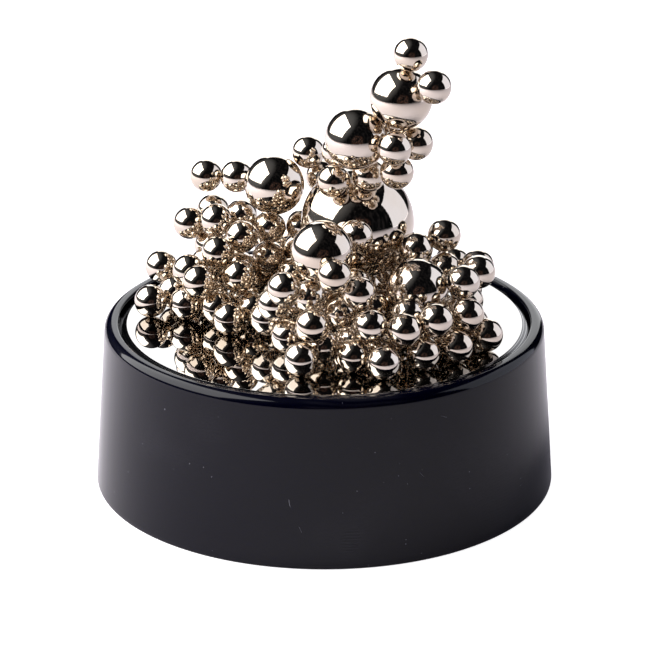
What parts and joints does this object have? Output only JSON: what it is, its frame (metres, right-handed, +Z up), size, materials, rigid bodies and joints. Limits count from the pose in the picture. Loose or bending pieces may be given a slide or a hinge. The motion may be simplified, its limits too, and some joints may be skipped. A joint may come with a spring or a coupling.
{
  "type": "magnetic desk sculpture",
  "caption": "Heap of polished steel balls in three sizes clinging in towers and arms to a round black magnetic base with a mirror top.",
  "frame": {"origin": "middle of the base at the level of the desk", "axes": "+Z up; -Y is the front that the heap is arranged to be looked at from, +X to its right"},
  "size_m": [0.084, 0.084, 0.0853],
  "materials": {
    "gloss_black": "moulded, high gloss, faint dust and handling marks",
    "mirror": "silvered glass, polished",
    "foam": "matt closed-cell foam",
    "foot_foam": "matt dense foam",
    "ferrite": "matt sintered ferrite",
    "plain_steel": "plain rolled sheet",
    "polished_steel": "mirror polished, slightly warm nickel plate"
  },
  "bodies": {
    "base": {"base_shell": "gloss_black", "mirror_disc": "mirror", "mirror_pad": "foam", "ring_magnet": "ferrite", "keeper_plate": "plain_steel", "bottom_cover": "gloss_black", "foot_pad": "foot_foam"},
    "heap": {"pile_left": "polished_steel", "pile_front": "polished_steel", "pile_right": "polished_steel", "pile_back": "polished_steel", "pile_middle": "polished_steel", "ball_medium_right": "polished_steel", "ball_left_1": "polished_steel", "ball_left_3": "polished_steel", "ball_left_5": "polished_steel", "ball_left_16": "polished_steel", "ball_front_1": "polished_steel", "ball_front_2": "polished_steel", "ball_front_3": "polished_steel", "ball_front_4": "polished_steel", "ball_front_6": "polished_steel", "ball_front_10": "polished_steel", "ball_front_11": "polished_steel", "ball_right_2": "polished_steel", "ball_right_3": "polished_steel", "ball_right_10": "polished_steel", "ball_right_13": "polished_steel"},
    "large_group": {"large_ball": "polished_steel", "ball_tower_1": "polished_steel", "ball_tower_2": "polished_steel", "ball_tower_6": "polished_steel", "ball_arm_4": "polished_steel"},
    "medium_tower": {"ball_medium_tower": "polished_steel", "ball_tower_4": "polished_steel", "ball_tower_7": "polished_steel"},
    "medium_top": {"ball_medium_top": "polished_steel"},
    "top_1": {"ball_top_1": "polished_steel"},
    "top_2": {"ball_top_2": "polished_steel"},
    "tower_3": {"ball_tower_3": "polished_steel"},
    "tower_5": {"ball_tower_5": "polished_steel"},
    "medium_left": {"ball_medium_left": "polished_steel"},
    "arm_1": {"ball_arm_1": "polished_steel"},
    "arm_2": {"ball_arm_2": "polished_steel"},
    "arm_3": {"ball_arm_3": "polished_steel"},
    "medium_front": {"ball_medium_front": "polished_steel"},
    "front_15": {"ball_front_15": "polished_steel"},
    "front_13": {"ball_front_13": "polished_steel"},
    "front_12": {"ball_front_12": "polished_steel"},
    "front_8": {"ball_front_8": "polished_steel"},
    "front_7": {"ball_front_7": "polished_steel"},
    "left_12": {"ball_left_12": "polished_steel"},
    "left_13": {"ball_left_13": "polished_steel"},
    "left_10": {"ball_left_10": "polished_steel"},
    "left_8": {"ball_left_8": "polished_steel"},
    "right_11": {"ball_right_11": "polished_steel"},
    "right_8": {"ball_right_8": "polished_steel"},
    "right_7": {"ball_right_7": "polished_steel"},
    "right_6": {"ball_right_6": "polished_steel"},
    "right_4": {"ball_right_4": "polished_steel"}
  },
  "joints": [
    {"name": "heap_lift", "type": "slide", "parent": "base", "child": "heap", "axis": [0, 0, 1], "range_m": [0, 0.02]},
    {"name": "large_group_pull", "type": "slide", "parent": "heap", "child": "large_group", "axis": [0.183, 0.183, 0.9659], "range_m": [0, 0.015]},
    {"name": "medium_tower_pull", "type": "slide", "parent": "large_group", "child": "medium_tower", "axis": [-0.5567, -0.3214, 0.766], "range_m": [0, 0.015]},
    {"name": "medium_top_pull", "type": "slide", "parent": "medium_tower", "child": "medium_top", "axis": [0.3536, -0.3536, 0.866], "range_m": [0, 0.015]},
    {"name": "top_1_pull", "type": "slide", "parent": "medium_top", "child": "top_1", "axis": [-0.067, -0.25, 0.9659], "range_m": [0, 0.015]},
    {"name": "top_2_pull", "type": "slide", "parent": "medium_top", "child": "top_2", "axis": [0.6124, -0.6124, 0.5], "range_m": [0, 0.015]},
    {"name": "tower_3_pull", "type": "slide", "parent": "medium_tower", "child": "tower_3", "axis": [0, -0.766, 0.6428], "range_m": [0, 0.015]},
    {"name": "tower_5_pull", "type": "slide", "parent": "medium_tower", "child": "tower_5", "axis": [0.75, 0.433, 0.5], "range_m": [0, 0.015]},
    {"name": "medium_left_pull", "type": "slide", "parent": "heap", "child": "medium_left", "axis": [-0.866, 0, 0.5], "range_m": [0, 0.018]},
    {"name": "arm_1_pull", "type": "slide", "parent": "medium_left", "child": "arm_1", "axis": [-0.7399, 0.1983, 0.6428], "range_m": [0, 0.015]},
    {"name": "arm_2_pull", "type": "slide", "parent": "arm_1", "child": "arm_2", "axis": [-0.866, 0, 0.5], "range_m": [0, 0.015]},
    {"name": "arm_3_pull", "type": "slide", "parent": "large_group", "child": "arm_3", "axis": [0, 0.6428, 0.766], "range_m": [0, 0.015]},
    {"name": "medium_front_pull", "type": "slide", "parent": "heap", "child": "medium_front", "axis": [-0.6428, 0, 0.766], "range_m": [0, 0.018]},
    {"name": "front_15_pull", "type": "slide", "parent": "medium_front", "child": "front_15", "axis": [0.8365, -0.2241, 0.5], "range_m": [0, 0.015]},
    {"name": "front_13_pull", "type": "slide", "parent": "heap", "child": "front_13", "axis": [0.3214, -0.5567, 0.766], "range_m": [0, 0.015]},
    {"name": "front_12_pull", "type": "slide", "parent": "heap", "child": "front_12", "axis": [0.75, 0.433, 0.5], "range_m": [0, 0.015]},
    {"name": "front_8_pull", "type": "slide", "parent": "heap", "child": "front_8", "axis": [-0.4545, -0.4545, 0.766], "range_m": [0, 0.015]},
    {"name": "front_7_pull", "type": "slide", "parent": "heap", "child": "front_7", "axis": [-0.6634, -0.383, 0.6428], "range_m": [0, 0.015]},
    {"name": "left_12_pull", "type": "slide", "parent": "heap", "child": "left_12", "axis": [-0.866, 0, 0.5], "range_m": [0, 0.015]},
    {"name": "left_13_pull", "type": "slide", "parent": "heap", "child": "left_13", "axis": [-0.383, -0.6634, 0.6428], "range_m": [0, 0.015]},
    {"name": "left_10_pull", "type": "slide", "parent": "heap", "child": "left_10", "axis": [-0.8365, 0.2241, 0.5], "range_m": [0, 0.015]},
    {"name": "left_8_pull", "type": "slide", "parent": "heap", "child": "left_8", "axis": [0.1664, -0.6209, 0.766], "range_m": [0, 0.015]},
    {"name": "right_11_pull", "type": "slide", "parent": "heap", "child": "right_11", "axis": [0, 0.866, 0.5], "range_m": [0, 0.015]},
    {"name": "right_8_pull", "type": "slide", "parent": "heap", "child": "right_8", "axis": [0.8365, -0.2241, 0.5], "range_m": [0, 0.015]},
    {"name": "right_7_pull", "type": "slide", "parent": "heap", "child": "right_7", "axis": [0.1294, -0.483, 0.866], "range_m": [0, 0.015]},
    {"name": "right_6_pull", "type": "slide", "parent": "heap", "child": "right_6", "axis": [0.433, -0.75, 0.5], "range_m": [0, 0.015]},
    {"name": "right_4_pull", "type": "slide", "parent": "heap", "child": "right_4", "axis": [0.3536, -0.3536, 0.866], "range_m": [0, 0.015]}
  ]
}
